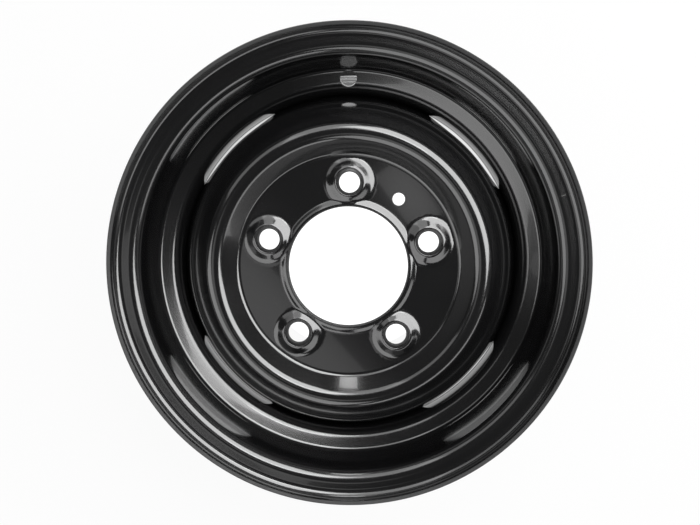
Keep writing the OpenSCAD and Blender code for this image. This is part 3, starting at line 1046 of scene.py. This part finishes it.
# %% The camera
PHOTO_WIDTH_PX, SENSOR_MM = 700, 36
FOCAL_PX, DISTANCE = 625.0, 0.580
TILT_X, TILT_Y = math.radians(4.67), math.radians(-1.63)
OFFSET = Vector((-0.0028, -0.0068, 0))
lip_plane = Vector((0, 0, (flange_out_z + curl_r) * MM))
to_wheel = (Matrix.Rotation(TILT_Y, 3, "Y") @ Matrix.Rotation(TILT_X, 3, "X")).transposed()
camera_data = bpy.data.cameras.new("camera")
camera_data.sensor_width = SENSOR_MM
camera_data.lens = FOCAL_PX / PHOTO_WIDTH_PX * SENSOR_MM
camera_data.clip_start = 0.01
camera = bpy.data.objects.new("camera", camera_data)
camera_place = lip_plane + to_wheel @ (Vector((0, 0, DISTANCE)) - OFFSET)
camera.matrix_world = Matrix.Translation(camera_place) @ to_wheel.to_4x4()
bpy.context.scene.collection.objects.link(camera)
bpy.context.scene.camera = camera
print("camera at", [round(c, 4) for c in camera.matrix_world.translation])

# %% [markdown]
# ## Floor and room
# The photograph's ground is plain white. The floor shows white to the camera, weaker in reflections,
# and is an ordinary pale floor for all other light, with a part of its own shading left in so that the
# wheel keeps its shadow. The room is white to the camera too. For all other light it is pale low down
# and dark overhead, as a studio is, because black gloss paint shows the room.

# %% The floor
FLOOR_HALF, FLOOR_DROP = 6, 0.0002
FLOOR_WHITE, FLOOR_MIRRORED = 0.93, 0.2
floor_z = cad_box[0][2] - FLOOR_DROP
floor_corners = [(x * FLOOR_HALF, y * FLOOR_HALF, floor_z) for x, y in ((-1, -1), (1, -1), (1, 1), (-1, 1))]
floor_mesh = bpy.data.meshes.new("floor")
floor_mesh.from_pydata(floor_corners, [], [(0, 1, 2, 3)])
floor = bpy.data.objects.new("floor", floor_mesh)
bpy.context.scene.collection.objects.link(floor)
floor_paper, g = blank_material("floor_paper")
path = g.add("ShaderNodeLightPath")
mirrored = FLOOR_MIRRORED * path["Is Glossy Ray"]
seen = (path["Is Camera Ray"] + path["Is Transmission Ray"] + mirrored).ramp(0, 1)
plain = g.add("ShaderNodeBsdfDiffuse", {}, {"Color": (0.8, 0.8, 0.8, 1)})["BSDF"]
white = g.add("ShaderNodeEmission", {}, {"Color": (1, 1, 1, 1), "Strength": 1.0})["Emission"]
mixed = g.add("ShaderNodeMixShader", {}, {0: seen * FLOOR_WHITE, 1: plain, 2: white})["Shader"]
g.add("ShaderNodeOutputMaterial", {}, {"Surface": mixed})
floor_mesh.materials.append(floor_paper)
print("floor at", round(floor_z, 4))

# %% The room
ROOM_PALE, ROOM_DARK = 0.55, 0.04
world = bpy.data.worlds.new("room")
bpy.context.scene.world = world
world.use_nodes = True
world.node_tree.nodes.clear()
g = Graph(world.node_tree)
up = g.add("ShaderNodeSeparateXYZ", {}, {"Vector": g.add("ShaderNodeTexCoord")["Generated"]})["Z"]
path = g.add("ShaderNodeLightPath")
seen = (path["Is Camera Ray"] + path["Is Transmission Ray"]).ramp(0, 1)
level = seen + (1 - seen) * up.ramp(0.02, 0.2, ROOM_PALE, ROOM_DARK)
room = g.add("ShaderNodeBackground", {}, {"Color": (1, 1, 1, 1), "Strength": level})["Background"]
g.add("ShaderNodeOutputWorld", {}, {"Surface": room})
print("room:", ROOM_PALE, "low down and", ROOM_DARK, "overhead")

# %% [markdown]
# ## Light under the wheel
# The narrow openings between plate and hoop are bright, and so are the walls of the holes, because
# the bright ground under the wheel shines up through them. The floor there lies in the wheel's own
# shadow, so a flat panel that glows a little brighter than white paper is laid under the wheel. It is
# narrower than the hoop, so none of it shows beside the wheel. A band between its disc and its ring is
# left plain, because the bead seat would mirror that band through the openings.

# %% The light panel
PANEL_STEPS, PANEL_LIFT, PANEL_GLOW = 64, 0.0001, 1.3
PANEL_RADII = (0.112, 0.14, 0.185)
turns = [math.tau * i / PANEL_STEPS for i in range(PANEL_STEPS)]
panel_points = [(r * math.cos(a), r * math.sin(a), floor_z + PANEL_LIFT) for r in PANEL_RADII for a in turns]
panel_faces = [tuple(range(PANEL_STEPS))]
for i in range(PANEL_STEPS):
    near, far = PANEL_STEPS + i, PANEL_STEPS + (i + 1) % PANEL_STEPS
    panel_faces.append((near, near + PANEL_STEPS, far + PANEL_STEPS, far))
panel_mesh = bpy.data.meshes.new("light_panel")
panel_mesh.from_pydata(panel_points, [], panel_faces)
panel = bpy.data.objects.new("light_panel", panel_mesh)
bpy.context.scene.collection.objects.link(panel)
panel_glow, g = blank_material("panel_glow")
glow = g.add("ShaderNodeEmission", {}, {"Color": (1, 1, 1, 1), "Strength": PANEL_GLOW})["Emission"]
g.add("ShaderNodeOutputMaterial", {}, {"Surface": glow})
panel_mesh.materials.append(panel_glow)
print("light panel:", len(panel_faces), "faces")

# %% [markdown]
# ## Light
# The bright bands on the bends show where the lamps stood: a large soft light to the upper right, with
# smaller ones beside it, a weaker wide one to the lower left, and dim ones to the upper left and the
# lower right. Only two dim ones stand near the camera's own line, so the flat faces that look at the
# camera stay dark. All lamps are equally far from the wheel, so their radiance can be compared.

# %% Soft boxes
LAMP_DISTANCE = 1.6


def soft_box(name, azimuth, elevation, width, height, radiance):
    """A rectangular lamp that faces the wheel. Its power follows from its radiance and size."""
    lamp = bpy.data.lights.new(name, "AREA")
    lamp.shape = "RECTANGLE"
    lamp.size, lamp.size_y = width, height
    lamp.energy = radiance * math.pi * width * height
    a, e = math.radians(azimuth), math.radians(elevation)
    way = Vector((math.cos(a) * math.cos(e), math.sin(a) * math.cos(e), math.sin(e)))
    box = bpy.data.objects.new(name, lamp)
    box.location = way * LAMP_DISTANCE
    box.rotation_euler = way.to_track_quat("Z", "Y").to_euler()
    bpy.context.scene.collection.objects.link(box)
    return box


boxes = [
    soft_box("key", 40, 45, 2.25, 1.2, 4.2),
    soft_box("key_near", 70, 61, 0.5, 0.2, 3.5),
    soft_box("key_side", 102, 40, 0.8, 1.1, 1.2),
    soft_box("key_top", 92, 12, 0.26, 0.26, 4.0),
    soft_box("front", 35, 83, 0.24, 0.12, 0.7),
    soft_box("fill", 224, 41, 2.35, 1.05, 1.4),
    soft_box("fill_near", 222, 70, 1.0, 0.45, 0.45),
    soft_box("upper_left", 135, 40, 0.9, 0.7, 0.7),
    soft_box("low_right", 307, 22, 2.0, 0.5, 1.3),
]
print("lamps:", [round(box.data.energy, 1) for box in boxes], "W")

# %% [markdown]
# ## Colour
# A film-like view would lift the blacks and bend the whites. The Standard view shows every colour as it
# was written, which suits a black object on white.

# %% Colour
bpy.context.scene.view_settings.view_transform = "Standard"
